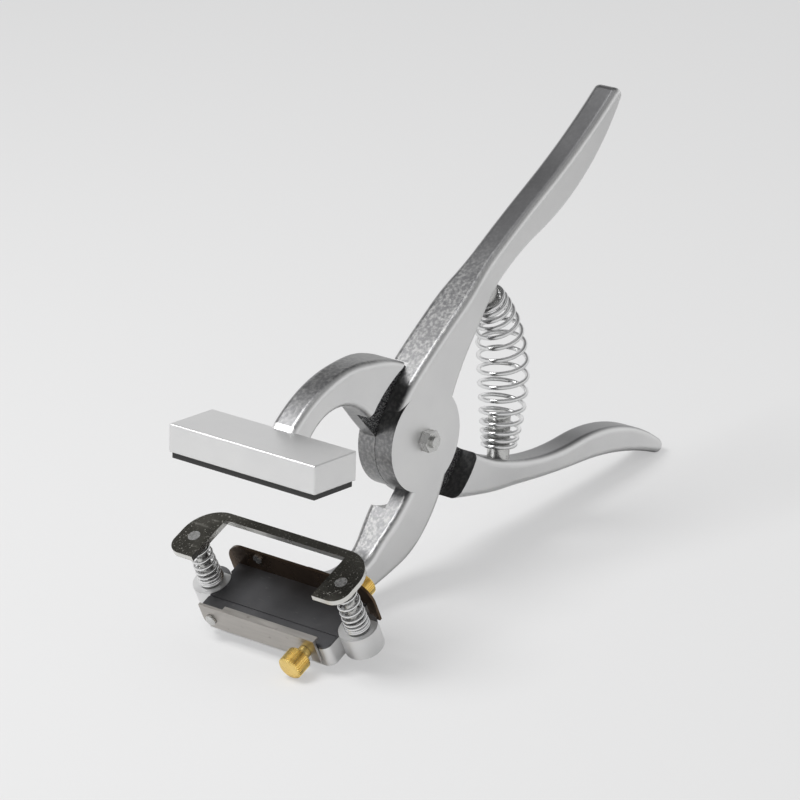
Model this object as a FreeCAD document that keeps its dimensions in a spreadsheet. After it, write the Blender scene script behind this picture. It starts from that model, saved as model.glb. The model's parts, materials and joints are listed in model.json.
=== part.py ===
"""Spring-loaded livestock tattoo plier: two cast levers, a type tray and a release frame.

Both levers are drawn in a jaw frame with its origin on the pivot axis: X runs back to
the handles, Y along the pivot and Z out of the jaw faces. The upper jaw lever stays in
that frame, and everything on the lower jaw turns about Y by the open angle. At the end
the whole tool is stood on its front thumbscrew and its lower handle, with Z up.
"""
import FreeCAD, Part
import math
import os

import Sketcher
from FreeCAD import Placement, Rotation, Vector

DRIVING_SIZES = [
    # pivot and the section of the levers
    ("pivot_width", 14.8, "both levers together, measured along the pivot"),
    ("lap_gap", 0.2, "running gap between the two halves of the lap"),
    ("grip_width", 11.0, "width of the arms and handles"),
    ("hub_radius", 18.5, "round hub of each lever"),
    ("edge_round", 2.5, "rounding of the long edges of the levers"),
    ("open_angle", 27.1, "angle between the jaw faces at rest, degrees"),
    ("upper_lap_radius", 32.0, "shoulder in the upper jaw lever around the other hub"),
    ("lower_lap_radius", 26.5, "shoulder in the lower jaw lever around the other hub"),
    ("running_fit", 0.05, "radial clearance of pins that turn or slide"),
    ("seat_fit", 0.02, "radial clearance of pins that stay put"),
    ("axial_gap", 0.1, "end clearance of pieces that turn or slide"),
    # places where the width of the levers changes
    ("arm_taper_start", -40.0, "X where the arms start to widen"),
    ("arm_taper_end", -18.0, "X where the arms reach the width of the pivot"),
    ("grip_taper_start", 35.0, "X where the handles start to narrow"),
    ("grip_taper_end", 62.0, "X where the handles reach the grip width"),
    # arched arms: mirror images on their outer side
    ("arm_inset", 8.7, "end of the arms, behind the middle of the jaws"),
    ("arm_end_height", 17.05, "height of the outer arch at the end of the arms"),
    ("arch_radius", 49.7, "outer arch of the arms"),
    ("arch_foot_x", 6.2, "where the outer arch runs into the hub"),
    ("arch_foot_height", 17.4, "height of the outer arch at the hub"),
    # inner edge of the upper arm
    ("upper_arm_root_x", -17.0, "inner edge at the hub"),
    ("upper_arm_root_z", 2.6, "inner edge at the hub"),
    ("upper_arm_bend_x", -29.8, "end of the straight part"),
    ("upper_arm_bend_z", 15.4, "end of the straight part"),
    ("upper_arm_flat", 7.9, "straight part at the end of the inner edge"),
    ("upper_arm_tip_z", 8.6, "end of the round part"),
    # lower handle, which belongs to the upper jaw lever
    ("lower_grip_root_x", 17.6, "upper edge at the hub"),
    ("lower_grip_root_z", -4.6, "upper edge at the hub"),
    ("lower_grip_radius", 99.9, "hollow of the upper edge"),
    ("lower_grip_turn_x", 91.8, "upper edge where it turns over"),
    ("lower_grip_turn_z", -23.2, "upper edge where it turns over"),
    ("lower_tip_top_x", 144.3, "upper end of the round tip"),
    ("lower_tip_top_z", -35.4, "upper end of the round tip"),
    ("lower_tip_setback", 2.5, "lower end of the round tip, behind its upper end"),
    ("lower_tip_drop", 4.9, "lower end of the round tip, below its upper end"),
    ("lower_belly_x", 95.0, "lower edge where it turns over"),
    ("lower_belly_z", -32.6, "lower edge where it turns over"),
    ("lower_heel_x", 8.0, "lower edge near the hub"),
    ("lower_heel_z", -24.4, "lower edge near the hub"),
    ("lower_heel_end_x", -6.0, "lower edge at the hub"),
    ("lower_heel_end_z", -17.4, "lower edge at the hub"),
    # inner edge of the lower arm
    ("lower_arm_root_z", -7.0, "inner edge carried on to below the pivot"),
    ("lower_arm_bend_x", -34.6, "end of the straight part"),
    ("lower_arm_bend_z", -20.4, "end of the straight part"),
    ("lower_arm_flat", 9.6, "straight part at the end of the inner edge"),
    ("lower_arm_tip_z", -10.3, "end of the round part"),
    # upper handle, which belongs to the lower jaw lever
    ("upper_grip_root_x", 18.0, "lower edge at the hub"),
    ("upper_grip_root_z", 2.6, "lower edge at the hub"),
    ("upper_grip_radius", 90.9, "round of the lower edge"),
    ("upper_grip_turn_x", 84.0, "lower edge where it turns over"),
    ("upper_grip_turn_z", 24.2, "lower edge where it turns over"),
    ("upper_tip_bottom_x", 142.8, "lower end of the round tip"),
    ("upper_tip_bottom_z", 39.9, "lower end of the round tip"),
    ("upper_tip_setback", 2.2, "upper end of the round tip, behind its lower end"),
    ("upper_tip_rise", 4.9, "upper end of the round tip, above its lower end"),
    ("upper_back_x", 93.5, "upper edge where it turns over"),
    ("upper_back_z", 37.1, "upper edge where it turns over"),
    ("upper_neck_x", 21.6, "upper edge over the pivot"),
    ("upper_neck_z", 27.0, "upper edge over the pivot"),
    ("upper_heel_x", 4.2, "upper edge behind the hub"),
    ("upper_heel_z", 22.8, "upper edge behind the hub"),
    ("upper_heel_end_x", -7.5, "upper edge at the hub"),
    ("upper_heel_end_z", 16.4, "upper edge at the hub"),
    # platen and its rubber
    ("jaw_reach", 77.2, "from the pivot to the middle of the jaws"),
    ("platen_length", 63.5, "platen across the jaws"),
    ("platen_depth", 21.0, "platen from front to back"),
    ("platen_top", 18.0, "upper face of the platen"),
    ("platen_face", 7.95, "lower face of the platen"),
    ("platen_round", 0.8, "rounding of the platen edges"),
    ("rubber_thickness", 2.0, "rubber on the platen"),
    ("rubber_inset", 1.0, "bare rim of the platen around the rubber"),
    # type tray
    ("tray_length", 56.0, "tray across the jaws, without its ears"),
    ("tray_nose", 12.7, "from the middle of the jaws to the front of the tray"),
    ("tray_tail", 10.2, "from the middle of the jaws to the back of the tray"),
    ("tray_bottom", -18.0, "underside of the tray"),
    ("bed_height", -9.4, "face that the type stands on"),
    ("bed_plate_thickness", 0.8, "hardened plate on the tray"),
    ("bed_plate_gap", 0.15, "between the bed plate and the ears"),
    ("tray_corner", 3.0, "front corners of the tray"),
    ("ear_radius", 6.8, "round ears of the tray"),
    ("stud_spread", 32.2, "from the middle to each release stud"),
    ("groove_inset", 5.9, "from the front edge to the line across the bed plate"),
    ("groove_width", 0.6, "line across the bed plate"),
    ("groove_depth", 0.3, "line across the bed plate"),
    # retaining plates and their screws
    ("plate_thickness", 1.0, "sheet of both retaining plates"),
    ("front_plate_gap", 0.2, "between the tray and the front plate"),
    ("front_plate_bottom", -15.8, "lower edge of the front plate"),
    ("front_plate_top", -6.2, "upper edge of the front plate"),
    ("front_plate_right", -24.5, "end of the front plate with the open slot"),
    ("front_flange_depth", 1.6, "lip of the front plate over the type"),
    ("front_flange_end", 16.0, "where the lip stops before the pivot screw"),
    ("plate_screw_y", 22.1, "screw that each plate turns on"),
    ("plate_screw_z", -11.9, "screw that each plate turns on"),
    ("plate_screw_radius", 1.5, "shank of the plate screws"),
    ("screw_head_radius", 2.0, "head of the plate screws"),
    ("screw_head_height", 1.4, "head of the plate screws"),
    ("screw_length", 12.0, "thread of all screws inside the tray"),
    ("thumbscrew_y", -19.3, "thumbscrews of both plates"),
    ("thumbscrew_z", -11.9, "thumbscrews of both plates"),
    ("thumbscrew_radius", 1.4, "shank of the thumbscrews"),
    ("thumbscrew_reach", 2.8, "bare shank between the plate and the knob"),
    ("knob_radius", 4.4, "knurled knobs"),
    ("knob_length", 6.8, "knurled knobs"),
    ("knob_chamfer", 0.6, "rims of the knobs"),
    ("slot_clearance", 0.3, "play of the slot on the thumbscrew"),
    ("rear_plate_half", 31.8, "half length of the rear plate"),
    ("rear_plate_top", -1.1, "upper edge of the rear plate"),
    ("rear_plate_bottom", -16.0, "lower edge of the rear plate"),
    ("rear_plate_corner", 7.5, "round upper corners of the rear plate"),
    ("rear_notch_gap", 0.3, "play of the rear plate around the arm"),
    ("rivet_y", 17.5, "from the middle to each rivet"),
    ("rivet_z", -4.0, "rivets in the rear plate"),
    ("rivet_radius", 0.9, "shank of the rivets"),
    ("rivet_head_radius", 1.75, "heads of the rivets"),
    ("rivet_head_height", 0.6, "heads of the rivets"),
    # release frame, its studs and springs
    ("release_nose", 8.8, "from the studs to the front of the frame"),
    ("release_tail", 13.5, "from the studs to the back of the frame"),
    ("release_rim", 6.0, "from the studs to the ends of the frame"),
    ("release_top", 11.2, "upper face of the frame at rest"),
    ("release_thickness", 2.0, "plate of the frame"),
    ("release_bar", 3.3, "width of the bar at the back"),
    ("release_window", 26.2, "half width of the open window"),
    ("release_front_corner", 5.5, "front corners of the frame"),
    ("release_back_corner", 12.0, "back corners of the frame"),
    ("release_stroke", 5.6, "how far the frame is pressed down"),
    ("stud_radius", 2.2, "release studs"),
    ("stud_fit", 0.1, "radial clearance of the studs in the ears"),
    ("stud_tail", 0.8, "stud below its nut"),
    ("stud_nut_flats", 7.0, "nuts of the release studs, across flats"),
    ("stud_nut_height", 2.2, "nuts of the release studs"),
    ("release_wire", 1.0, "wire of the release springs"),
    ("release_coil", 9.2, "outside of the release springs"),
    ("release_turns", 7.5, "turns of the release springs"),
    # pivot bolt and its nut
    ("bolt_radius", 2.5, "shoulder of the pivot bolt"),
    ("bolt_thread_radius", 2.1, "threaded end of the pivot bolt"),
    ("bolt_head_radius", 4.5, "head of the pivot bolt"),
    ("bolt_head_height", 2.8, "head of the pivot bolt"),
    ("bolt_head_round", 0.8, "rim of the pivot bolt's head"),
    ("bolt_tail", 1.3, "thread beyond the nut"),
    ("pivot_nut_flats", 7.0, "pivot nut, across flats"),
    ("pivot_nut_height", 3.2, "pivot nut"),
    # return spring and its posts
    ("post_radius", 4.0, "spring posts"),
    ("post_round", 1.0, "rim of the spring posts"),
    ("post_depth", 4.2, "how deep the posts sit in the handles"),
    ("lower_post_x", 50.7, "post in the lower handle"),
    ("lower_post_seat", -19.8, "lower handle under the post"),
    ("lower_post_top", -4.0, "end of the lower post"),
    ("upper_post_x", 55.3, "post in the upper handle"),
    ("upper_post_seat", 21.1, "upper handle above the post"),
    ("upper_post_end", 15.0, "end of the upper post"),
    ("return_wire", 1.4, "wire of the return spring"),
    ("return_coil_end", 12.3, "outside of the return spring at its ends"),
    ("return_coil_middle", 18.8, "outside of the return spring in the middle"),
    ("return_half_turns", 7.0, "turns in each half of the return spring, a whole number"),
    ("return_foot", 3.2, "lowest coil above the seat of the lower post"),
    ("return_head", 4.3, "highest coil below the seat of the upper post"),
]

doc = FreeCAD.newDocument("TattooPlier")
sheet = doc.addObject("Spreadsheet::Sheet", "Sizes")


class Size:
    """A number together with the sheet expression that gives it."""

    def __init__(self, value, text):
        self.value = float(value)
        self.text = text

    def __add__(self, other):
        other = as_size(other)
        return Size(self.value + other.value, f"({self.text} + {other.text})")

    def __sub__(self, other):
        other = as_size(other)
        return Size(self.value - other.value, f"({self.text} - {other.text})")

    def __mul__(self, other):
        other = as_size(other)
        return Size(self.value * other.value, f"({self.text} * {other.text})")

    def __truediv__(self, other):
        other = as_size(other)
        return Size(self.value / other.value, f"({self.text} / {other.text})")

    def __neg__(self):
        return Size(-self.value, f"(0 - {self.text})")

    def root(self):
        return Size(math.sqrt(self.value), f"sqrt({self.text})")

    def cosine(self):
        return Size(math.cos(math.radians(self.value)), f"cos({self.text} * 1 deg)")

    def sine(self):
        return Size(math.sin(math.radians(self.value)), f"sin({self.text} * 1 deg)")

    def arctangent(self):
        return Size(math.degrees(math.atan(self.value)), f"atan({self.text})")


def as_size(number):
    """A plain number as a Size, and a Size as it is."""
    return number if isinstance(number, Size) else Size(number, f"{number:.6f}")


class Sizes:
    """The sheet's cells by name, as Size values."""


size = Sizes()
for row, (name, value, meaning) in enumerate(DRIVING_SIZES, start=1):
    sheet.set(f"A{row}", name)
    sheet.set(f"B{row}", str(value))
    sheet.set(f"C{row}", meaning)
    sheet.setAlias(f"B{row}", name)
    setattr(size, name, Size(value, f"Sizes.{name}"))
doc.recompute()

ZERO = as_size(0)
PIECES = []


def bind(item, path, length):
    """Tie a property of a feature to the sheet."""
    item.setExpression(path, length.text)


def new_body(label, jaw, at=(ZERO, ZERO, ZERO)):
    """A named piece that is drawn about its own point in the frame of its jaw."""
    body = doc.addObject("PartDesign::Body", label)
    body.Label = label
    PIECES.append((body, jaw, Placement(Vector(*[place.value for place in at]), Rotation())))
    return body


def new_sketch(body, role, name, offset=ZERO):
    """A sketch on one of the body's own planes, moved along its normal."""
    sketch = body.newObject("Sketcher::SketchObject", name)
    plane = next(item for item in body.Origin.OriginFeatures if item.Role == role)
    sketch.AttachmentSupport = [(plane, "")]
    sketch.MapMode = "FlatFace"
    sketch.AttachmentOffset = Placement(Vector(0, 0, offset.value), Rotation())
    bind(sketch, ".AttachmentOffset.Base.z", offset)
    return sketch


def pin(sketch, geometry, end, across, up):
    """Hold one point of a sketch at its distances from the sketch's origin."""
    for kind, length in (("DistanceX", across), ("DistanceY", up)):
        index = sketch.addConstraint(Sketcher.Constraint(kind, -1, 1, geometry, end, length.value))
        bind(sketch, f"Constraints[{index}]", length)


def draw_circle(sketch, across, up, radius):
    """A circle pinned at its centre."""
    centre = Vector(as_size(across).value, as_size(up).value, 0)
    circle = Part.Circle(centre, Vector(0, 0, 1), radius.value)
    geometry = sketch.addGeometry(circle, False)
    pin(sketch, geometry, 3, as_size(across), as_size(up))
    index = sketch.addConstraint(Sketcher.Constraint("Radius", geometry, radius.value))
    bind(sketch, f"Constraints[{index}]", radius)


class Outline:
    """A closed chain of lines and arcs, drawn from node to node."""

    def __init__(self, sketch, across, up):
        self.sketch = sketch
        self.start = (as_size(across), as_size(up))
        self.here = self.start
        self.heading = 0.0
        self.edges = []

    def point(self, node):
        return Vector(node[0].value, node[1].value, 0)

    def add(self, curve, forward, node, smooth):
        """Take up one edge, with the number of its first and last point."""
        geometry = self.sketch.addGeometry(curve, False)
        ends = (1, 2) if forward else (2, 1)
        if self.edges:
            before, before_ends = self.edges[-1]
            kind = "Tangent" if smooth else "Coincident"
            self.sketch.addConstraint(
                Sketcher.Constraint(kind, before, before_ends[1], geometry, ends[0]))
        else:
            pin(self.sketch, geometry, ends[0], *self.start)
        closes = node[0].text == self.start[0].text and node[1].text == self.start[1].text
        if not closes:
            pin(self.sketch, geometry, ends[1], *node)
        self.edges.append((geometry, ends))
        self.here = node
        return geometry

    def line(self, across, up):
        node = (as_size(across), as_size(up))
        first, last = self.point(self.here), self.point(node)
        self.add(Part.LineSegment(first, last), True, node, False)
        self.heading = math.atan2(last.y - first.y, last.x - first.x)
        return self

    def bend(self, node, turn):
        """The arc to a node that turns by an angle, counter-clockwise if positive."""
        first, last = self.point(self.here), self.point(node)
        chord = last - first
        side = Vector(-chord.y, chord.x, 0)
        centre = (first + last) / 2 + side * (0.5 / math.tan(turn / 2))
        radius = (first - centre).Length
        circle = Part.Circle(centre, Vector(0, 0, 1), radius)
        low, high = (first, last) if turn > 0 else (last, first)
        start = math.atan2(low.y - centre.y, low.x - centre.x)
        end = math.atan2(high.y - centre.y, high.x - centre.x)
        self.heading = math.atan2(chord.y, chord.x) + turn / 2
        return Part.ArcOfCircle(circle, start, end), turn > 0

    def arc(self, across, up, radius, left=True):
        """An arc of a given radius, less than half a circle, that bends left or right."""
        node = (as_size(across), as_size(up))
        half = (self.point(node) - self.point(self.here)).Length / 2
        turn = 2 * math.asin(half / radius.value)
        curve, forward = self.bend(node, turn if left else -turn)
        geometry = self.add(curve, forward, node, False)
        index = self.sketch.addConstraint(Sketcher.Constraint("Radius", geometry, radius.value))
        bind(self.sketch, f"Constraints[{index}]", radius)
        return self

    def smooth(self, across, up):
        """An arc that carries on from the edge before it without a corner."""
        node = (as_size(across), as_size(up))
        chord = self.point(node) - self.point(self.here)
        turn = 2 * (math.atan2(chord.y, chord.x) - self.heading)
        turn = math.remainder(turn, 4 * math.pi)
        curve, forward = self.bend(node, turn)
        self.add(curve, forward, node, True)
        return self

    def close(self):
        """Join the last edge, or a closing line, to the first point."""
        if (self.point(self.here) - self.point(self.start)).Length > 1e-6:
            self.line(*self.start)
        last, last_ends = self.edges[-1]
        first, first_ends = self.edges[0]
        self.sketch.addConstraint(
            Sketcher.Constraint("Coincident", last, last_ends[1], first, first_ends[0]))


def rectangle(sketch, left, right, bottom, top):
    """A rectangle between four distances from the sketch's origin."""
    Outline(sketch, left, bottom).line(right, bottom).line(right, top).line(left, top).close()


def pad(body, profile, name, length):
    """Add material on both sides of a sketch, half the length on each."""
    feature = body.newObject("PartDesign::Pad", name)
    feature.Profile = profile
    feature.Midplane = True
    feature.Length = length.value
    bind(feature, "Length", length)
    return feature


def pocket(body, profile, name, length):
    """Cut on both sides of a sketch, half the length on each."""
    feature = body.newObject("PartDesign::Pocket", name)
    feature.Profile = profile
    feature.Midplane = True
    feature.Length = length.value
    bind(feature, "Length", length)
    return feature


def middle(role, low, high):
    """Offset of a sketch halfway between two planes; the XZ plane looks along -Y."""
    half_way = (low + high) / 2
    return -half_way if role == "XZ_Plane" else half_way


def slab(body, role, name, low, high, draw):
    """Material between two planes, in the shape that draw puts in the sketch."""
    sketch = new_sketch(body, role, name + "Sketch", middle(role, low, high))
    draw(sketch)
    return pad(body, sketch, name, high - low)


def cut(body, role, name, low, high, draw):
    """A cut between two planes, in the shape that draw puts in the sketch."""
    sketch = new_sketch(body, role, name + "Sketch", middle(role, low, high))
    draw(sketch)
    return pocket(body, sketch, name, high - low)


def turned(body, role, name, axis, draw):
    """A solid of revolution about an axis of the sketch."""
    sketch = new_sketch(body, role, name + "Sketch")
    draw(sketch)
    feature = body.newObject("PartDesign::Revolution", name)
    feature.Profile = sketch
    feature.ReferenceAxis = (sketch, [axis])
    feature.Angle = 360
    return feature


def round_edges(body, name, radius, chosen):
    """Round the edges of the body's last feature that a test chooses."""
    doc.recompute()
    base = body.Tip
    names = [f"Edge{index}" for index, edge in enumerate(base.Shape.Edges, start=1) if chosen(edge)]
    feature = body.newObject("PartDesign::Fillet", name)
    feature.Base = (base, names)
    feature.Radius = radius.value
    bind(feature, "Radius", radius)
    return feature


def circle_at(across, up, radius):
    """A drawing of one circle, for slab and cut."""
    return lambda sketch: draw_circle(sketch, across, up, radius)


# ---- what both levers share ----

FAR = as_size(200)
half_width = size.pivot_width / 2
half_grip = size.grip_width / 2
arm_end_x = -(size.jaw_reach - size.arm_inset)


def draw_width_cuts(sketch):
    """What is taken off both sides of a lever where it is thinner than the pivot."""
    step = (half_width + half_grip) / 2
    for side in (1, -1):
        thin, mid, wide, out = (place * side for place in (half_grip, step, half_width, FAR))
        arm_middle = (size.arm_taper_start + size.arm_taper_end) / 2
        cut_arm = Outline(sketch, -FAR, thin).line(size.arm_taper_start, thin)
        cut_arm.smooth(arm_middle, mid).smooth(size.arm_taper_end, wide)
        cut_arm.line(size.arm_taper_end, out).line(-FAR, out).close()
        grip_middle = (size.grip_taper_start + size.grip_taper_end) / 2
        cut_grip = Outline(sketch, FAR, thin).line(size.grip_taper_end, thin)
        cut_grip.smooth(grip_middle, mid).smooth(size.grip_taper_start, wide)
        cut_grip.line(size.grip_taper_start, out).line(FAR, out).close()


def is_long_edge(edge):
    """Edges along the outline of a lever, outside its hub and its jaw."""
    ends = [vertex.Point for vertex in edge.Vertexes]
    if len(ends) < 2:
        return False
    same_side = ends[0].y * ends[1].y > 0 and min(abs(end.y) for end in ends) > 1
    along = abs(ends[0].x - ends[1].x) > 0.3
    centre = edge.CenterOfMass
    outside_hub = math.hypot(centre.x, centre.z) > size.hub_radius.value
    outside_jaw = min(end.x for end in ends) > arm_end_x.value + 0.01
    return same_side and along and outside_hub and outside_jaw


def cast_lever(body, draw_side, lap_radius, lap_side):
    """A lever blank: its side outline, thinned, rounded, with its half of the lap."""
    slab(body, "XZ_Plane", "Blank", -half_width, half_width, draw_side)
    cut(body, "XY_Plane", "Thinned", -FAR, FAR, draw_width_cuts)
    round_edges(body, "LongEdges", size.edge_round, is_long_edge)
    hub = circle_at(0, 0, size.hub_radius)
    slab(body, "XZ_Plane", "Hub", -half_width, half_width, hub)
    near, far = sorted((size.lap_gap / 2 * lap_side, FAR * -lap_side), key=lambda place: place.value)
    cut(body, "XZ_Plane", "Lap", near, far, circle_at(0, 0, lap_radius))
    bore = circle_at(0, 0, size.bolt_radius + size.running_fit)
    cut(body, "XZ_Plane", "PivotBore", -FAR, FAR, bore)


def post_hole(body, across, seat, depth):
    """A blind hole for a spring post, from above the seat to its depth below it."""
    low, high = sorted((seat - depth, seat + depth * 2), key=lambda place: place.value)
    cut(body, "XY_Plane", "PostHole", low, high,
        circle_at(across, 0, size.post_radius + size.seat_fit))


# ---- upper jaw lever ----

lower_tip_bottom_x = size.lower_tip_top_x - size.lower_tip_setback
lower_tip_bottom_z = size.lower_tip_top_z - size.lower_tip_drop
platen_front = -(size.jaw_reach + size.platen_depth / 2)
platen_back = -(size.jaw_reach - size.platen_depth / 2)
platen_side = size.platen_length / 2


def draw_upper_lever(sketch):
    """Side view of the upper arm and the lower handle, clockwise from the platen."""
    outline = Outline(sketch, arm_end_x, size.arm_end_height)
    outline.arc(size.arch_foot_x, size.arch_foot_height, size.arch_radius, left=False)
    outline.line(0, 0).line(size.lower_grip_root_x, size.lower_grip_root_z)
    outline.arc(size.lower_grip_turn_x, size.lower_grip_turn_z, size.lower_grip_radius)
    outline.smooth(size.lower_tip_top_x, size.lower_tip_top_z)
    outline.smooth(lower_tip_bottom_x, lower_tip_bottom_z)
    outline.smooth(size.lower_belly_x, size.lower_belly_z)
    outline.smooth(size.lower_heel_x, size.lower_heel_z)
    outline.smooth(size.lower_heel_end_x, size.lower_heel_end_z)
    outline.line(0, 0).line(size.upper_arm_root_x, size.upper_arm_root_z)
    outline.line(size.upper_arm_bend_x, size.upper_arm_bend_z)
    outline.smooth(arm_end_x + size.upper_arm_flat, size.upper_arm_tip_z)
    outline.line(arm_end_x, size.upper_arm_tip_z)
    outline.close()


def draw_platen(sketch):
    rectangle(sketch, platen_front, platen_back, -platen_side, platen_side)


def is_platen_edge(edge):
    """The edges of the platen, except the two long ones that the arm runs into."""
    ends = [vertex.Point for vertex in edge.Vertexes]
    at_corners = all(abs(abs(end.y) - platen_side.value) < 0.01 for end in ends)
    at_back = all(abs(end.x - platen_back.value) < 0.01 for end in ends)
    return at_corners and not (at_back and abs(ends[0].y - ends[1].y) > 1)


upper_lever = new_body("upper_jaw_lever", "upper")
cast_lever(upper_lever, draw_upper_lever, size.upper_lap_radius, 1)
post_hole(upper_lever, size.lower_post_x, size.lower_post_seat, size.post_depth)
slab(upper_lever, "XY_Plane", "Platen", size.platen_face, size.platen_top, draw_platen)
round_edges(upper_lever, "PlatenEdges", size.platen_round, is_platen_edge)


def draw_rubber(sketch):
    inset = size.rubber_inset
    rectangle(sketch, platen_front + inset, platen_back - inset,
              -(platen_side - inset), platen_side - inset)


rubber = new_body("rubber_pad", "upper")
slab(rubber, "XY_Plane", "Pad", size.platen_face - size.rubber_thickness, size.platen_face,
     draw_rubber)

# ---- lower jaw lever ----

tray_front = -(size.jaw_reach + size.tray_nose)
tray_back = -(size.jaw_reach - size.tray_tail)
tray_side = size.tray_length / 2
tray_top = size.bed_height - size.bed_plate_thickness
stud_x = -size.jaw_reach
stud_hole = size.stud_radius + size.stud_fit
screw_hole = size.plate_screw_radius + size.seat_fit
thumb_hole = size.thumbscrew_radius + size.running_fit


def draw_lower_lever(sketch):
    """Side view of the lower arm and the upper handle, counter-clockwise from the tray."""
    outline = Outline(sketch, arm_end_x, -size.arm_end_height)
    outline.arc(size.arch_foot_x, -size.arch_foot_height, size.arch_radius)
    outline.line(0, 0).line(size.upper_grip_root_x, size.upper_grip_root_z)
    outline.arc(size.upper_grip_turn_x, size.upper_grip_turn_z, size.upper_grip_radius, left=False)
    outline.smooth(size.upper_tip_bottom_x, size.upper_tip_bottom_z)
    outline.smooth(size.upper_tip_bottom_x - size.upper_tip_setback,
                   size.upper_tip_bottom_z + size.upper_tip_rise)
    outline.smooth(size.upper_back_x, size.upper_back_z)
    outline.smooth(size.upper_neck_x, size.upper_neck_z)
    outline.smooth(size.upper_heel_x, size.upper_heel_z)
    outline.smooth(size.upper_heel_end_x, size.upper_heel_end_z)
    outline.line(0, 0).line(0, size.lower_arm_root_z)
    outline.line(size.lower_arm_bend_x, size.lower_arm_bend_z)
    outline.smooth(arm_end_x + size.lower_arm_flat, size.lower_arm_tip_z)
    outline.line(arm_end_x, size.lower_arm_tip_z)
    outline.close()


def draw_tray(sketch):
    """The tray from above, with round front corners."""
    corner = size.tray_corner
    outline = Outline(sketch, tray_back, -tray_side).line(tray_back, tray_side)
    outline.line(tray_front + corner, tray_side).smooth(tray_front, tray_side - corner)
    outline.line(tray_front, -(tray_side - corner))
    outline.smooth(tray_front + corner, -tray_side).close()


def draw_ears(sketch):
    for side in (-1, 1):
        draw_circle(sketch, stud_x, size.stud_spread * side, size.ear_radius)


def draw_ear_clearance(sketch):
    for side in (-1, 1):
        draw_circle(sketch, stud_x, size.stud_spread * side, size.ear_radius + size.bed_plate_gap)


def draw_stud_holes(sketch):
    for side in (-1, 1):
        draw_circle(sketch, stud_x, size.stud_spread * side, stud_hole)


def draw_tray_screw_holes(sketch):
    draw_circle(sketch, size.plate_screw_y, size.plate_screw_z, screw_hole)
    draw_circle(sketch, size.thumbscrew_y, size.thumbscrew_z, thumb_hole)


lower_lever = new_body("lower_jaw_lever", "lower")
cast_lever(lower_lever, draw_lower_lever, size.lower_lap_radius, -1)
post_hole(lower_lever, size.upper_post_x, size.upper_post_seat, -size.post_depth)
slab(lower_lever, "XY_Plane", "Tray", size.tray_bottom, tray_top, draw_tray)
slab(lower_lever, "XY_Plane", "Ears", size.tray_bottom, size.bed_height, draw_ears)
cut(lower_lever, "XY_Plane", "StudHoles", -FAR, size.bed_height, draw_stud_holes)
cut(lower_lever, "YZ_Plane", "ScrewHoles", tray_front, tray_back, draw_tray_screw_holes)

bed_plate = new_body("type_bed_plate", "lower")
slab(bed_plate, "XY_Plane", "Plate", tray_top, size.bed_height, draw_tray)
cut(bed_plate, "XY_Plane", "EarClearance", tray_top, size.bed_height, draw_ear_clearance)
groove_front = tray_front + size.groove_inset
cut(bed_plate, "XY_Plane", "Groove", size.bed_height - size.groove_depth, size.bed_height,
    lambda sketch: rectangle(sketch, groove_front, groove_front + size.groove_width,
                             -tray_side, tray_side))

# ---- retaining plates ----

front_plate_inner = tray_front - size.front_plate_gap
front_plate_outer = front_plate_inner - size.plate_thickness


def draw_front_plate(sketch):
    """The front plate about its pivot screw: round past the screw, open slot below."""
    slot = size.thumbscrew_radius + size.slot_clearance
    thumb_y = size.thumbscrew_y - size.plate_screw_y
    thumb_z = size.thumbscrew_z - size.plate_screw_z
    left = size.front_plate_right - size.plate_screw_y
    low = size.front_plate_bottom - size.plate_screw_z
    high = size.front_plate_top - size.plate_screw_z
    outline = Outline(sketch, left, low).line(thumb_y - slot, low).line(thumb_y - slot, thumb_z)
    outline.smooth(thumb_y, thumb_z + slot).smooth(thumb_y + slot, thumb_z)
    outline.line(thumb_y + slot, low).line(ZERO, low)
    outline.smooth(-low, ZERO).line(-low, high).line(left, high).close()
    draw_circle(sketch, 0, 0, size.plate_screw_radius + size.running_fit)


def draw_front_lip(sketch):
    left = size.front_plate_right - size.plate_screw_y
    right = size.front_flange_end - size.plate_screw_y
    high = size.front_plate_top - size.plate_screw_z
    rectangle(sketch, left, right, high - size.plate_thickness, high)


front_plate = new_body("front_retaining_plate", "lower",
                       (ZERO, size.plate_screw_y, size.plate_screw_z))
slab(front_plate, "YZ_Plane", "Plate", front_plate_outer, front_plate_inner, draw_front_plate)
slab(front_plate, "YZ_Plane", "Lip", front_plate_inner,
     front_plate_inner + size.front_flange_depth, draw_front_lip)


def draw_rear_plate(sketch):
    """The rear plate with round upper corners and a notch for the arm."""
    side, corner = size.rear_plate_half, size.rear_plate_corner
    notch = half_grip + size.rear_notch_gap
    notch_top = size.lower_arm_tip_z + size.rear_notch_gap
    low, high = size.rear_plate_bottom, size.rear_plate_top
    outline = Outline(sketch, -side, low).line(-notch, low).line(-notch, notch_top)
    outline.line(notch, notch_top).line(notch, low).line(side, low).line(side, high - corner)
    outline.smooth(side - corner, high).line(-(side - corner), high)
    outline.smooth(-side, high - corner).close()
    draw_circle(sketch, size.plate_screw_y, size.plate_screw_z, screw_hole)
    draw_circle(sketch, size.thumbscrew_y, size.thumbscrew_z, thumb_hole)
    for place in (-size.rivet_y, size.rivet_y):
        draw_circle(sketch, place, size.rivet_z, size.rivet_radius + size.seat_fit)


rear_plate_outer = tray_back + size.plate_thickness
rear_plate = new_body("rear_retaining_plate", "lower")
slab(rear_plate, "YZ_Plane", "Plate", tray_back, rear_plate_outer, draw_rear_plate)

# ---- screws, knobs and rivets, turned about X ----


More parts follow.
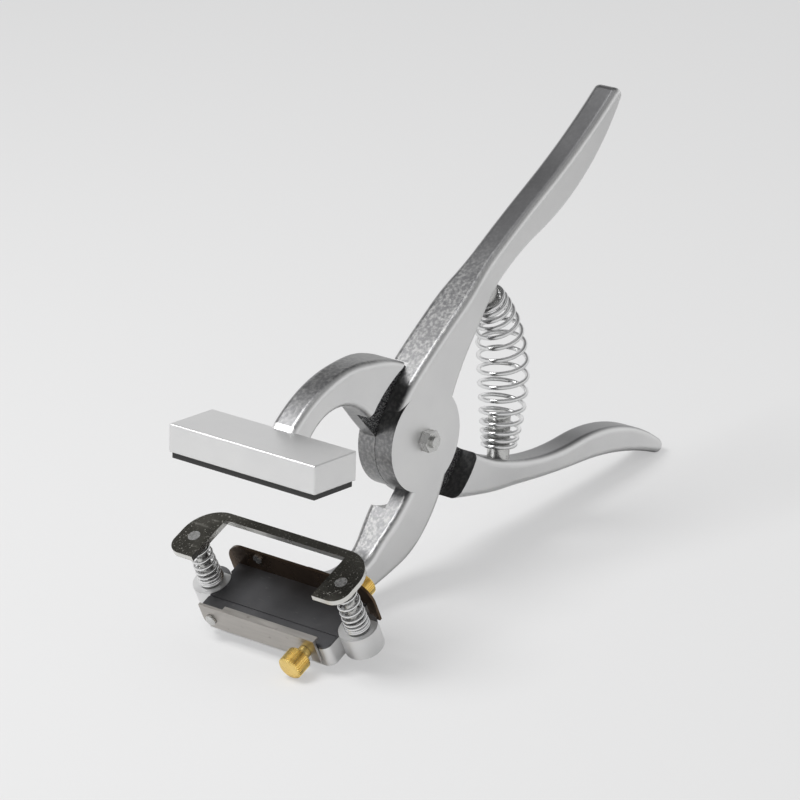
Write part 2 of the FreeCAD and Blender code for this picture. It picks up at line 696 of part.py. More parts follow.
def screw(label, body_frame_y, body_frame_z, seat, inward):
    """A round-headed screw whose head bears on a plate; inward is the sign of its thread."""
    body = new_body(label, "lower", (ZERO, body_frame_y, body_frame_z))
    head, tip = seat - size.screw_head_height * inward, seat + size.screw_length * inward
    rim = size.screw_head_height * inward / 2

    def draw(sketch):
        outline = Outline(sketch, head, 0).line(head, size.screw_head_radius / 2)
        outline.line(seat - rim, size.screw_head_radius).line(seat, size.screw_head_radius)
        outline.line(seat, size.plate_screw_radius).line(tip, size.plate_screw_radius)
        outline.line(tip, 0).close()

    turned(body, "XZ_Plane", "Screw", "H_Axis", draw)


def thumbscrew(label, plate_face, inward):
    """A thumbscrew with a long bare shank and a chamfered knob."""
    body = new_body(label, "lower", (ZERO, size.thumbscrew_y, size.thumbscrew_z))
    knob_start = plate_face - size.thumbscrew_reach * inward
    knob_end = knob_start - size.knob_length * inward
    tip = plate_face + (size.screw_length - size.plate_thickness) * inward
    bevel, radius = size.knob_chamfer, size.knob_radius

    def draw(sketch):
        outline = Outline(sketch, knob_end, 0).line(knob_end, radius - bevel)
        outline.line(knob_end + bevel * inward, radius).line(knob_start - bevel * inward, radius)
        outline.line(knob_start, radius - bevel).line(knob_start, size.thumbscrew_radius)
        outline.line(tip, size.thumbscrew_radius).line(tip, 0).close()

    turned(body, "XZ_Plane", "Thumbscrew", "H_Axis", draw)


screw("front_plate_screw", size.plate_screw_y, size.plate_screw_z,
      front_plate_outer - size.axial_gap, 1)
screw("rear_plate_screw", size.plate_screw_y, size.plate_screw_z, rear_plate_outer, -1)
thumbscrew("front_thumbscrew", front_plate_outer, 1)
thumbscrew("rear_thumbscrew", rear_plate_outer, -1)


def rivet(side):
    """One rivet of the rear plate: a flat disc on its inner face, flush at the back."""
    head = doc.addObject("Part::Cylinder", f"RivetHead{side}")
    shank = doc.addObject("Part::Cylinder", f"RivetShank{side}")
    whole = doc.addObject("Part::Fuse", f"Rivet{side}")
    lengths = ((head, size.rivet_head_radius, size.rivet_head_height, -1),
               (shank, size.rivet_radius, size.plate_thickness, 1))
    for item, radius, length, direction in lengths:
        bind(item, "Radius", radius)
        bind(item, "Height", length)
        item.Placement = Placement(Vector(tray_back.value, size.rivet_y.value * side, size.rivet_z.value),
                                   Rotation(Vector(0, 0, 1), Vector(direction, 0, 0)))
    whole.Base, whole.Tool = head, shank
    return whole


rivets = doc.addObject("Part::Compound", "rear_plate_rivets")
rivets.Label = "rear_plate_rivets"
rivets.Links = [rivet(-1), rivet(1)]
PIECES.append((rivets, "lower", Placement()))

# ---- release frame with its studs, nuts and springs ----

release_low = size.release_top - size.release_thickness


def draw_release_frame(sketch):
    """The frame from above: a bar at the back and two limbs, open to the front."""
    front, back = stud_x - size.release_nose, stud_x + size.release_tail
    side, window = size.stud_spread + size.release_rim, size.release_window
    nose, corner = size.release_front_corner, size.release_back_corner
    bar = back - size.release_bar
    outline = Outline(sketch, back, -(side - corner)).line(back, side - corner)
    outline.smooth(back - corner, side).line(front + nose, side).smooth(front, side - nose)
    outline.line(front, window).line(bar, window).line(bar, -window).line(front, -window)
    outline.line(front, -(side - nose)).smooth(front + nose, -side)
    outline.line(back - corner, -side).smooth(back, -(side - corner)).close()
    for place in (-size.stud_spread, size.stud_spread):
        draw_circle(sketch, stud_x, place, size.stud_radius + size.seat_fit)


release_frame = new_body("release_frame", "lower")
slab(release_frame, "XY_Plane", "Frame", release_low, size.release_top, draw_release_frame)

nut_top = size.tray_bottom - size.axial_gap
nut_bottom = nut_top - size.stud_nut_height


def draw_stud(sketch):
    """Half section of a stud, from the frame's upper face to below its nut."""
    tail = nut_bottom - size.stud_tail
    rectangle(sketch, ZERO, size.stud_radius, tail, size.release_top)


def draw_hexagon(sketch, flats):
    """A hexagon about the sketch's origin from its size across flats."""
    corner = flats / (2 * math.cos(math.pi / 6))
    outline = Outline(sketch, corner, 0)
    for step in range(1, 6):
        angle = step * math.pi / 3
        outline.line(corner * round(math.cos(angle), 6), corner * round(math.sin(angle), 6))
    outline.close()


def draw_stud_nut(sketch):
    draw_hexagon(sketch, size.stud_nut_flats)
    draw_circle(sketch, 0, 0, size.stud_radius + size.seat_fit)


def helix(body, name, start, radius, wire, turns, height, flare=ZERO, downwards=False):
    """A coil of round wire about the body's Z axis; flare is the slope of its cone."""
    sketch = new_sketch(body, "XZ_Plane", name + "Sketch")
    draw_circle(sketch, radius, start, wire / 2)
    coil = body.newObject("PartDesign::AdditiveHelix", name)
    coil.Profile = sketch
    coil.ReferenceAxis = (sketch, ["V_Axis"])
    coil.Mode = "height-turns-angle"
    coil.Height = height.value
    coil.Turns = turns.value
    coil.Angle = flare.value
    coil.Reversed = downwards
    bind(coil, "Height", height)
    bind(coil, "Turns", turns)
    bind(coil, "Angle", flare)
    return coil


for word, side in (("left", 1), ("right", -1)):
    stud_place = (stud_x, size.stud_spread * side, ZERO)
    stud = new_body(f"{word}_release_stud", "lower", stud_place)
    turned(stud, "XZ_Plane", "Stud", "V_Axis", draw_stud)
    stud_nut = new_body(f"{word}_stud_nut", "lower", stud_place)
    slab(stud_nut, "XY_Plane", "Nut", nut_bottom, nut_top, draw_stud_nut)
    spring = new_body(f"{word}_release_spring", "lower",
                      (stud_x, size.stud_spread * side, size.bed_height + size.axial_gap))
    rise = release_low - size.bed_height - size.release_wire - size.axial_gap * 2
    helix(spring, "Coil", size.release_wire / 2, (size.release_coil - size.release_wire) / 2,
          size.release_wire, size.release_turns, rise)

# ---- pivot bolt and nut, turned about Y ----


def draw_bolt(sketch):
    """Half section of the bolt: thread at the near end, shoulder, head at the far end."""
    shoulder = half_width + size.axial_gap
    end = -(shoulder + size.pivot_nut_height + size.bolt_tail)
    head_top = half_width + size.bolt_head_height
    outline = Outline(sketch, 0, end).line(size.bolt_thread_radius, end)
    outline.line(size.bolt_thread_radius, -shoulder).line(size.bolt_radius, -shoulder)
    outline.line(size.bolt_radius, half_width).line(size.bolt_head_radius, half_width)
    outline.line(size.bolt_head_radius, head_top - size.bolt_head_round)
    outline.smooth(size.bolt_head_radius - size.bolt_head_round, head_top)
    outline.line(0, head_top).close()


def draw_pivot_nut(sketch):
    draw_hexagon(sketch, size.pivot_nut_flats)
    draw_circle(sketch, 0, 0, size.bolt_thread_radius + size.seat_fit)


bolt = new_body("pivot_bolt", "upper")
turned(bolt, "XY_Plane", "Bolt", "V_Axis", draw_bolt)
pivot_nut = new_body("pivot_nut", "upper")
nut_seat = -(half_width + size.axial_gap)
slab(pivot_nut, "XZ_Plane", "Nut", nut_seat - size.pivot_nut_height, nut_seat, draw_pivot_nut)

# ---- spring posts and return spring ----


def spring_post(label, jaw, across, foot, end):
    """A round post that stands in its hole; foot is its end inside the handle."""
    body = new_body(label, jaw, (across, ZERO, ZERO))
    direction = 1 if end.value > foot.value else -1
    shoulder = end - size.post_round * direction

    def draw(sketch):
        outline = Outline(sketch, 0, foot).line(size.post_radius, foot)
        outline.line(size.post_radius, shoulder)
        outline.smooth(size.post_radius - size.post_round, end).line(0, end).close()

    turned(body, "XZ_Plane", "Post", "V_Axis", draw)


spring_post("lower_spring_post", "upper", size.lower_post_x,
            size.lower_post_seat - size.post_depth, size.lower_post_top)
spring_post("upper_spring_post", "lower", size.upper_post_x,
            size.upper_post_seat + size.post_depth, size.upper_post_end)

foot_x = size.lower_post_x
foot_z = size.lower_post_seat + size.return_foot
open_cosine, open_sine = size.open_angle.cosine(), size.open_angle.sine()
head_above = size.upper_post_seat - size.return_head
head_x = size.upper_post_x * open_cosine - head_above * open_sine
head_z = size.upper_post_x * open_sine + head_above * open_cosine
lean_x, lean_z = head_x - foot_x, head_z - foot_z
spring_length = (lean_x * lean_x + lean_z * lean_z).root()
half_length = spring_length / 2
end_radius = (size.return_coil_end - size.return_wire) / 2
middle_radius = (size.return_coil_middle - size.return_wire) / 2
flare = ((middle_radius - end_radius) / half_length).arctangent()

return_spring = doc.addObject("PartDesign::Body", "return_spring")
return_spring.Label = "return_spring"
spring_axis = Vector(lean_x.value, 0, lean_z.value)
spring_foot = Vector(foot_x.value, 0, foot_z.value)
PIECES.append((return_spring, "upper",
               Placement(spring_foot, Rotation(Vector(0, 0, 1), spring_axis))))
helix(return_spring, "LowerHalf", ZERO, end_radius, size.return_wire,
      size.return_half_turns, half_length, flare)
helix(return_spring, "UpperHalf", spring_length, end_radius, size.return_wire,
      size.return_half_turns, half_length, flare, downwards=True)

# ---- standing pose and export ----

open_turn = Rotation(Vector(0, 1, 0), -size.open_angle.value)
knob_front = front_plate_outer - size.thumbscrew_reach - size.knob_length
knob_low = open_turn.multVec(Vector(knob_front.value, 0,
                                    size.thumbscrew_z.value - size.knob_radius.value))
grip_low = Vector(lower_tip_bottom_x.value, 0, lower_tip_bottom_z.value)
stand_angle = math.degrees(math.atan2(grip_low.z - knob_low.z, grip_low.x - knob_low.x))
stand_turn = Rotation(Vector(0, 1, 0), stand_angle)

doc.recompute()
for item in doc.Objects:
    if "Invalid" in item.State or "Error" in item.State:
        raise RuntimeError(f"{item.Name} is {item.State}")

for piece, jaw, place in PIECES:
    turn = stand_turn * open_turn if jaw == "lower" else stand_turn
    piece.Placement = Placement(Vector(), turn) * place
boxes = [piece.Shape.optimalBoundingBox(False) for piece, jaw, place in PIECES]
left, right = min(box.XMin for box in boxes), max(box.XMax for box in boxes)
lift = Placement(Vector(-(left + right) / 2, 0, -min(box.ZMin for box in boxes)), Rotation())
for piece, jaw, place in PIECES:
    piece.Placement = lift * piece.Placement
doc.recompute()

os.makedirs("parts", exist_ok=True)
for piece, jaw, place in PIECES:
    shape = piece.Shape
    if shape.isNull() or not shape.isValid():
        raise RuntimeError(f"{piece.Label} has no valid shape")
    shape.exportStep(f"parts/{piece.Label}.step")
    print(f"{piece.Label}: {len(shape.Solids)} solid, {shape.Volume:.1f} mm3")
print("stand angle", round(stand_angle, 3), "pivot", lift.Base)
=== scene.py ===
import json
import math

import bmesh
import bpy
from mathutils import Matrix, Vector


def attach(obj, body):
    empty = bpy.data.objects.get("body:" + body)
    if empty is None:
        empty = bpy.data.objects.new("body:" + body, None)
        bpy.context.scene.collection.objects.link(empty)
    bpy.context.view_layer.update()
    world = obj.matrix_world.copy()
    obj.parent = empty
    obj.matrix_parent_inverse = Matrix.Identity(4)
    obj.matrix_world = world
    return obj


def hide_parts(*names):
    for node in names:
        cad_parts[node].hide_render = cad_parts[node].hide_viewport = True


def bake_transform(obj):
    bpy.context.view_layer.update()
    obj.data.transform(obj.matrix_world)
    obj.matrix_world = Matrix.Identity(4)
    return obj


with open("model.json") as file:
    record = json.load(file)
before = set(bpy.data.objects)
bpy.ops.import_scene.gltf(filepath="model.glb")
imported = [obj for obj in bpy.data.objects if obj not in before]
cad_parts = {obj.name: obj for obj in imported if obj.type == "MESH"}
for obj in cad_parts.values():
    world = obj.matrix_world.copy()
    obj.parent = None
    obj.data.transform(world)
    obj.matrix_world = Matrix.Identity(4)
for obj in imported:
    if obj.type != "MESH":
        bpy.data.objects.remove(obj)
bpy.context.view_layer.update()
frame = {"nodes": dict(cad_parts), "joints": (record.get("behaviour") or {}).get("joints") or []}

# ---- levers ----
# Two sand-cast aluminium levers. Their flat sides and jaws are ground to a pale satin, their
# rounded edges are darker and mottled near the hub, and the faces of the lap are left as cast,
# with painted shade: near black with lighter specks.
MM = 0.001
ALONG_TOOL, ACROSS_TOOL = (1, 0, 0), (0, 1, 0)
JAW_START = -64 * MM
HUB_MOTTLE_FROM, HUB_MOTTLE_TO = 45 * MM, 85 * MM
LAP_HALF_GAP = 0.6 * MM
GROUND_DEEP, GROUND_PALE = (0.66, 0.66, 0.665, 1), (0.78, 0.78, 0.775, 1)
EDGE_DARK, EDGE_LIGHT = (0.20, 0.20, 0.205, 1), (0.33, 0.33, 0.325, 1)
# near-black painted shade for the faces inside the lap, and its lighter specks
LAP_PAINTED_SHADE, LAP_SHADE_SPECK = (0.055, 0.055, 0.058, 1), (0.34, 0.34, 0.34, 1)

joints = {joint["name"]: joint for joint in frame["joints"]}
pivot = Vector(joints["main_pivot"]["pos_m"])


class Shade:
    """A socket of a material, so that shader maths is written as arithmetic."""

    def __init__(self, tree, socket=None):
        self.tree, self.socket = tree, socket

    def node(self, kind, settings=(), sockets=(), out=0):
        """Any node: its settings first, then the values or links of its sockets."""
        made = self.tree.nodes.new(kind)
        for name, value in dict(settings).items():
            setattr(made, name, value)
        for name, value in dict(sockets).items():
            if isinstance(value, Shade):
                self.tree.links.new(value.socket, made.inputs[name])
            else:
                made.inputs[name].default_value = value
        return Shade(self.tree, made.outputs[out] if made.outputs else None)

    def math(self, operation, *values):
        return self.node("ShaderNodeMath", {"operation": operation}, enumerate(values))

    def __abs__(self):
        return self.math("ABSOLUTE", self)

    def __add__(self, other):
        return self.math("ADD", self, other)

    def __radd__(self, other):
        return self.math("ADD", other, self)

    def __sub__(self, other):
        return self.math("SUBTRACT", self, other)

    def __rsub__(self, other):
        return self.math("SUBTRACT", other, self)

    def __mul__(self, other):
        return self.math("MULTIPLY", self, other)

    def __rmul__(self, other):
        return self.math("MULTIPLY", other, self)

    def __gt__(self, other):
        return self.math("GREATER_THAN", self, other)

    def __lt__(self, other):
        return self.math("LESS_THAN", self, other)

    def step(self, low, high):
        """0 below low and 1 above high, with a smooth rise between."""
        return self.node("ShaderNodeMapRange", {"interpolation_type": "SMOOTHSTEP"},
                         {"Value": self, "From Min": low, "From Max": high})

    def mix(self, first, second):
        """A colour: the first where this value is 0, and the second where it is 1."""
        return self.node("ShaderNodeMix", {"data_type": "RGBA"},
                         {0: self, 6: first, 7: second}, out=2)

    def place(self):
        return self.node("ShaderNodeTexCoord", out=3)

    def noise(self, scale, detail, stretch=(1, 1, 1)):
        """Noise from about 0 to 1; scale is in features per metre."""
        where = self.node("ShaderNodeMapping", (), {"Vector": self.place(), "Scale": stretch})
        return self.node("ShaderNodeTexNoise", (),
                         {"Vector": where, "Scale": float(scale), "Detail": float(detail)})

    def dot(self, vector, direction):
        return self.node("ShaderNodeVectorMath", {"operation": "DOT_PRODUCT"},
                         {0: vector, 1: tuple(direction)}, out=1)

    def along(self, direction, origin):
        """Distance in metres from a point, measured along a direction."""
        offset = self.node("ShaderNodeVectorMath", {"operation": "SUBTRACT"},
                           {0: self.place(), 1: tuple(origin)})
        return self.dot(offset, direction)

    def facing(self, direction):
        """How squarely the face looks along a direction, from -1 to 1."""
        return self.dot(self.node("ShaderNodeNewGeometry", out=1), direction)

    def bump(self, height, strength, distance):
        return self.node("ShaderNodeBump", (),
                         {"Height": height, "Strength": strength, "Distance": distance})


def new_material(name):
    made = bpy.data.materials.new(name)
    made.use_nodes = True
    made.node_tree.nodes.clear()
    return made, Shade(made.node_tree)


def surface(made, shade, **sockets):
    """Ends a material in one principled shader; underscores stand for spaces."""
    named = {name.replace("_", " "): value for name, value in sockets.items()}
    body = shade.node("ShaderNodeBsdfPrincipled", (), named)
    shade.node("ShaderNodeOutputMaterial", (), {"Surface": body})
    return made


def dress(material, *names):
    """Gives pieces that come from the frame their finish."""
    for name in names:
        mesh = frame["nodes"][name].data
        mesh.materials.clear()
        mesh.materials.append(material)


def cast_aluminium():
    made, shade = new_material("ground_cast_aluminium")
    side = abs(shade.facing(ACROSS_TOOL))
    jaw = shade.along(ALONG_TOOL, pivot) < JAW_START
    edge = (1.0 - side.step(0.30, 0.80)) * (1.0 - jaw)
    # Painted shade: faces inside the lap, at the middle plane, are coloured near black.
    lap_painted_shade = (abs(shade.along(ACROSS_TOOL, pivot)) < LAP_HALF_GAP) * side.step(0.8, 0.9)
    away = shade.node("ShaderNodeVectorMath", {"operation": "DISTANCE"},
                      {0: shade.place(), 1: tuple(pivot)}, out=1)
    near_hub = 1.0 - away.step(HUB_MOTTLE_FROM, HUB_MOTTLE_TO)
    cloud = shade.noise(55, 3)
    mottle = shade.noise(800, 5)
    grain = shade.noise(1900, 3)
    scratch = shade.noise(260, 4, stretch=(1, 1, 14))
    patch = mottle.step(0.38, 0.70) * (0.12 + 0.88 * near_hub)
    colour = edge.mix(cloud.mix(GROUND_DEEP, GROUND_PALE), patch.mix(EDGE_DARK, EDGE_LIGHT))
    colour = lap_painted_shade.mix(colour, grain.step(0.45, 0.62).mix(LAP_PAINTED_SHADE, LAP_SHADE_SPECK))
    rough = 0.36 + 0.10 * cloud - 0.07 * edge + 0.10 * edge * patch + 0.20 * lap_painted_shade
    height = (0.4 * grain * (0.2 + edge * near_hub) + 0.4 * mottle * edge * near_hub
              + 0.1 * scratch)
    return surface(made, shade, Base_Color=colour, Metallic=1.0, Roughness=rough,
                   Normal=shade.bump(height, 0.32, 0.22 * MM))


dress(cast_aluminium(), "upper_jaw_lever", "lower_jaw_lever")

# ---- rubber pad ----
# A strip of hard black rubber under the platen; the needles stop in it. It is moulded matt
# and a little dusty.


def black_rubber():
    made, shade = new_material("black_rubber")
    dust = shade.noise(700, 4)
    colour = dust.mix((0.012, 0.012, 0.013, 1), (0.035, 0.034, 0.033, 1))
    return surface(made, shade, Base_Color=colour, Metallic=0.0, Roughness=0.55 + 0.2 * dust,
                   Normal=shade.bump(shade.noise(2500, 2), 0.2, 0.1 * MM))


dress(black_rubber(), "rubber_pad")

# ---- type bed and rear retaining plate ----
# Both are steel. Their dark colours are painted reflection of the black rubber pad above:
# charcoal and satin on the thin bed plate on the tray, dark brown and polished on the plate
# behind the type. Handling has worn faint marks into both.
WORN_STEEL = (0.30, 0.29, 0.28, 1)


# Painted reflection: dark and light are dark colours that stand for the black pad mirrored in
# the plate.
def painted_reflection_steel(name, dark, light, rough):
    made, shade = new_material(name)
    cloud = shade.noise(90, 4)
    wear = 0.35 * shade.noise(900, 5, stretch=(1, 0.25, 1)).step(0.62, 0.80)
    return surface(made, shade, Base_Color=wear.mix(cloud.mix(dark, light), WORN_STEEL),
                   Metallic=0.9, Roughness=rough + 0.14 * cloud,
                   Normal=shade.bump(shade.noise(1400, 3), 0.18, 0.1 * MM))


dress(painted_reflection_steel("charcoal_painted_reflection", (0.075, 0.075, 0.08, 1), (0.13, 0.13, 0.135, 1), 0.34),
      "type_bed_plate")
dress(painted_reflection_steel("brown_painted_reflection", (0.050, 0.030, 0.018, 1), (0.105, 0.068, 0.040, 1), 0.20),
      "rear_retaining_plate")

# ---- front retaining plate, screws, nuts, posts and bolt ----
# Zinc-plated steel. The front plate is warm grey and brushed along its length; the screws,
# rivets, nuts, studs, spring posts and the pivot bolt are turned and brighter.
TARNISH = (0.22, 0.20, 0.18, 1)


def plated_steel(name, dark, light, rough, stretch):
    made, shade = new_material(name)
    brush = shade.noise(900, 4, stretch=stretch)
    spot = 0.6 * shade.noise(300, 4).step(0.62, 0.74)
    return surface(made, shade, Base_Color=spot.mix(brush.mix(dark, light), TARNISH),
                   Metallic=1.0, Roughness=rough + 0.16 * brush,
                   Normal=shade.bump(brush, 0.12, 0.08 * MM))


dress(plated_steel("brushed_plate", (0.36, 0.345, 0.325, 1), (0.50, 0.475, 0.45, 1), 0.27,
                   stretch=(1, 0.12, 1)),
      "front_retaining_plate")
dress(plated_steel("turned_steel", (0.46, 0.46, 0.45, 1), (0.68, 0.68, 0.67, 1), 0.20,
                   stretch=(1, 1, 1)),
      "front_plate_screw", "rear_plate_screw", "rear_plate_rivets", "pivot_bolt", "pivot_nut",
      "left_stud_nut", "right_stud_nut", "lower_spring_post", "upper_spring_post",
      "left_release_stud", "right_release_stud")

# ---- release frame ----
# A stamped steel plate, dark and speckled on its faces, with a painted highlight round its
# sheared rim.
# It is riveted to the two studs, which slide in the ears of the tray.
FRAME_TOP, FRAME_UNDERSIDE = 11.2 * MM, 9.2 * MM
FRAME_DARK, FRAME_OLIVE = (0.055, 0.053, 0.045, 1), (0.16, 0.155, 0.135, 1)
FRAME_SPECK, FRAME_SCRATCH = (0.42, 0.41, 0.38, 1), (0.36, 0.35, 0.32, 1)
FRAME_RIM_HIGHLIGHT = (0.66, 0.655, 0.63, 1)
tray_up = -Vector(joints["release_slide"]["axis"])


def speckled_plate():
    made, shade = new_material("speckled_dark_plate")
    height = shade.along(tray_up, pivot)
    # Painted highlight: the sheared rim, between the top and the underside, is coloured bright.
    rim_highlight = (height < FRAME_TOP - 0.12 * MM) * (height > FRAME_UNDERSIDE + 0.1 * MM)
    cloud = shade.noise(70, 4)
    speck = shade.noise(1500, 4).step(0.60, 0.68)
    scratch = shade.noise(500, 5, stretch=(1, 0.15, 1)).step(0.62, 0.72)
    face = (0.75 * speck).mix(cloud.mix(FRAME_DARK, FRAME_OLIVE), FRAME_SPECK)
    face = (0.5 * scratch).mix(face, FRAME_SCRATCH)
    return surface(made, shade, Base_Color=rim_highlight.mix(face, FRAME_RIM_HIGHLIGHT), Metallic=1.0,
                   Roughness=0.20 + 0.16 * cloud + 0.12 * speck,
                   Normal=shade.bump(speck + scratch, 0.15, 0.08 * MM))


dress(speckled_plate(), "release_frame")

# ---- release springs ----
# Bright drawn wire. The two springs stand on the ears round the studs, with close turns at
# the foot, and narrow a little towards the frame that they carry.
WIRE_DEEP, WIRE_BRIGHT = (0.60, 0.605, 0.61, 1), (0.80, 0.80, 0.80, 1)
STEPS_PER_TURN = 40
RELEASE_WIRE, RELEASE_TURNS = 1.0, 8.5
RELEASE_FOOT, RELEASE_HEAD = -8.8, 8.65
RELEASE_WIDE, RELEASE_NARROW = 4.1, 3.55
STUD_X, STUD_SPREAD = -77.2, 32.2

tray_along = Vector(joints["front_knob_turn"]["axis"])
lower_frame = Matrix.Translation(pivot) @ Matrix(
    (tray_along, ACROSS_TOOL, tray_up)).transposed().to_4x4()


def lower_point(x, y, z):
    """A point in millimetres from the pivot, in the lower jaw's frame."""
    return lower_frame @ (Vector((x, y, z)) * MM)


def bright_wire():
    made, shade = new_material("bright_spring_wire")
    drawn = shade.noise(1200, 3)
    return surface(made, shade, Base_Color=drawn.mix(WIRE_DEEP, WIRE_BRIGHT), Metallic=1.0,
                   Roughness=0.13 + 0.12 * drawn, Normal=shade.bump(drawn, 0.08, 0.05 * MM))


wire_finish = bright_wire()


def coil(name, wire, turns, place):
    """A spring of round wire; place gives the wire's centre from how far along it is."""
    curve = bpy.data.curves.new(name + "_wire", "CURVE")
    curve.dimensions = "3D"
    curve.bevel_depth = wire / 2 * MM
    curve.bevel_resolution = 4
    curve.use_fill_caps = True
    count = int(turns * STEPS_PER_TURN)
    spline = curve.splines.new("POLY")
    spline.points.add(count)
    for index, point in enumerate(spline.points):
        along = index / count
        point.co = (*place(along, along * turns * math.tau), 1.0)
    bent = bpy.data.objects.new(name + "_path", curve)
    bpy.context.scene.collection.objects.link(bent)
    bpy.context.view_layer.update()
    mesh = bpy.data.meshes.new_from_object(
        bent.evaluated_get(bpy.context.evaluated_depsgraph_get()))
    bpy.data.objects.remove(bent)
    for face in mesh.polygons:
        face.use_smooth = True
    mesh.materials.clear()
    mesh.materials.append(wire_finish)
    made = bpy.data.objects.new(name, mesh)
    bpy.context.scene.collection.objects.link(made)
    return made


for side_name, side in (("left", 1), ("right", -1)):

    def release_wire(along, turn, side=side):
        """Close turns on the ear, then open turns that narrow a little upwards."""
        rise = 0.13 * along + 0.87 * along ** 2.1
        radius = RELEASE_WIDE + (RELEASE_NARROW - RELEASE_WIDE) * along
        return lower_point(STUD_X + radius * math.cos(turn),
                           STUD_SPREAD * side + radius * math.sin(turn),
                           RELEASE_FOOT + (RELEASE_HEAD - RELEASE_FOOT) * rise)

    spring = coil(f"{side_name}_release_coil", RELEASE_WIRE, RELEASE_TURNS, release_wire)
    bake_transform(spring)
    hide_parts(f"{side_name}_release_spring")

# ---- return spring ----
# A barrel-shaped spring of the same wire, close-wound at both ends over its posts. It is bent,
# because the open handles aren't parallel.
RETURN_WIRE, RETURN_TURNS = 1.6, 15.0
RETURN_END, RETURN_MIDDLE = 5.45, 8.6
RETURN_PULL = 62 * MM
open_angle = math.radians(joints["main_pivot"]["range_deg"][1])
upper_frame = lower_frame @ Matrix.Rotation(open_angle, 4, "Y")


def upper_point(x, y, z):
    """A point in millimetres from the pivot, in the upper jaw's frame."""
    return upper_frame @ (Vector((x, y, z)) * MM)


return_foot, return_head = upper_point(50.7, 0, -16.8), lower_point(55.3, 0, 17.0)
foot_way = (upper_frame.to_3x3() @ Vector((0.12, 0, 1))) * RETURN_PULL
head_way = (lower_frame.to_3x3() @ Vector((-0.16, 0, 1))) * RETURN_PULL


def return_wire(along, turn):
    """A barrel about an axis that leaves each handle nearly square."""
    t = along - 0.50 * math.sin(math.tau * along) / math.tau
    centre = ((2 * t ** 3 - 3 * t ** 2 + 1) * return_foot + (t ** 3 - 2 * t ** 2 + t) * foot_way
              + (3 * t ** 2 - 2 * t ** 3) * return_head + (t ** 3 - t ** 2) * head_way)
    slope = ((6 * t * t - 6 * t) * (return_foot - return_head)
             + (3 * t * t - 4 * t + 1) * foot_way + (3 * t * t - 2 * t) * head_way)
    across = Vector(ACROSS_TOOL)
    out = across.cross(slope.normalized())
    radius = RETURN_END + (RETURN_MIDDLE - RETURN_END) * math.sin(math.pi * t) ** 0.9
    return centre + (out * math.cos(turn) + across * math.sin(turn)) * radius * MM


return_coil = coil("return_coil", RETURN_WIRE, RETURN_TURNS, return_wire)
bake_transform(return_coil)
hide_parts("return_spring")

# ---- thumbscrews ----
# Turned brass screws with a plain neck and a straight-knurled head, chamfered and a little
# domed. The front one clamps the front plate and the rear one the rear plate.
BRASS_DEEP, BRASS_BRIGHT = (0.72, 0.50, 0.15, 1), (0.93, 0.72, 0.28, 1)
KNURLS, POINTS_PER_KNURL, KNURL_DEPTH = 34, 4, 0.34
SHANK_RADIUS, NECK_RADIUS, KNOB_RADIUS = 1.4, 2.3, 4.4
# height over the foot of the head, radius, and whether the ring is knurled
KNOB_RINGS = ((-2.75, SHANK_RADIUS, False), (-2.7, NECK_RADIUS, False),
              (-0.15, NECK_RADIUS, False), (0.0, KNOB_RADIUS - 0.7, False),
              (0.05, KNOB_RADIUS - 0.55, False), (0.6, KNOB_RADIUS, True),
              (6.0, KNOB_RADIUS, True), (6.55, KNOB_RADIUS - 0.6, False),
              (6.7, KNOB_RADIUS - 1.2, False), (6.78, 1.6, False), (6.8, 0.02, False))


def brass():
    made, shade = new_material("bright_brass")
    cloud = shade.noise(260, 4)
    return surface(made, shade, Base_Color=cloud.mix(BRASS_DEEP, BRASS_BRIGHT), Metallic=1.0,
                   Roughness=0.20 + 0.14 * cloud,
                   Normal=shade.bump(shade.noise(2200, 2), 0.08, 0.06 * MM))


brass_finish = brass()


def round_axis(points):
    return sorted(points, key=lambda point: math.atan2(point.co.y, point.co.x))


def knurled_knob(name, joint, outwards, body, node):
    """A head drawn out ring by ring from the plate; the knurl's grooves are points set back."""
    work = bmesh.new()
    bmesh.ops.create_circle(work, cap_ends=False, segments=KNURLS * POINTS_PER_KNURL, radius=1.0)
    ring, points = work.edges[:], round_axis(work.verts)
    for index, (rise, radius, knurled) in enumerate(KNOB_RINGS):
        if index:
            grown = bmesh.ops.extrude_edge_only(work, edges=ring)["geom"]
            points = round_axis(item for item in grown if isinstance(item, bmesh.types.BMVert))
            ring = [item for item in grown if isinstance(item, bmesh.types.BMEdge)]
        for number, point in enumerate(points):
            in_groove = knurled and number % POINTS_PER_KNURL < POINTS_PER_KNURL // 2
            outward = Vector((point.co.x, point.co.y, 0)).normalized()
            point.co = outward * (radius - KNURL_DEPTH * in_groove) + Vector((0, 0, rise))
    bmesh.ops.contextual_create(work, geom=ring)
    bmesh.ops.recalc_face_normals(work, faces=work.faces)
    start = Vector(joints[joint]["pos_m"])
    axis = Vector(joints[joint]["axis"]) * outwards
    turn = axis.to_track_quat("Z", "Y").to_matrix().to_4x4()
    bmesh.ops.transform(work, matrix=Matrix.Translation(start) @ turn @ Matrix.Scale(MM, 4),
                        verts=work.verts)
    mesh = bpy.data.meshes.new(name)
    work.to_mesh(mesh)
    work.free()
    mesh.materials.append(brass_finish)
    made = bpy.data.objects.new(name, mesh)
    bpy.context.scene.collection.objects.link(made)
    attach(made, body)
    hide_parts(node)


knurled_knob("front_knob_head", "front_knob_turn", -1, "front_knob", "front_thumbscrew")
knurled_knob("rear_knob_head", "rear_knob_turn", 1, "rear_knob", "rear_thumbscrew")

# ---- camera ----
# Looks down on the tool from its near side, in front of the jaws, through a long lens. Its
# place and turn are given in the upper jaw's frame.
CAMERA_PLACE = (-1022.2, -813.6, 438.2)
CAMERA_ROUND, CAMERA_RISE = math.radians(-51.329), math.radians(18.046)
CAMERA_ROLL = math.radians(1.70)
LENS, SENSOR = 181.0, 36.0

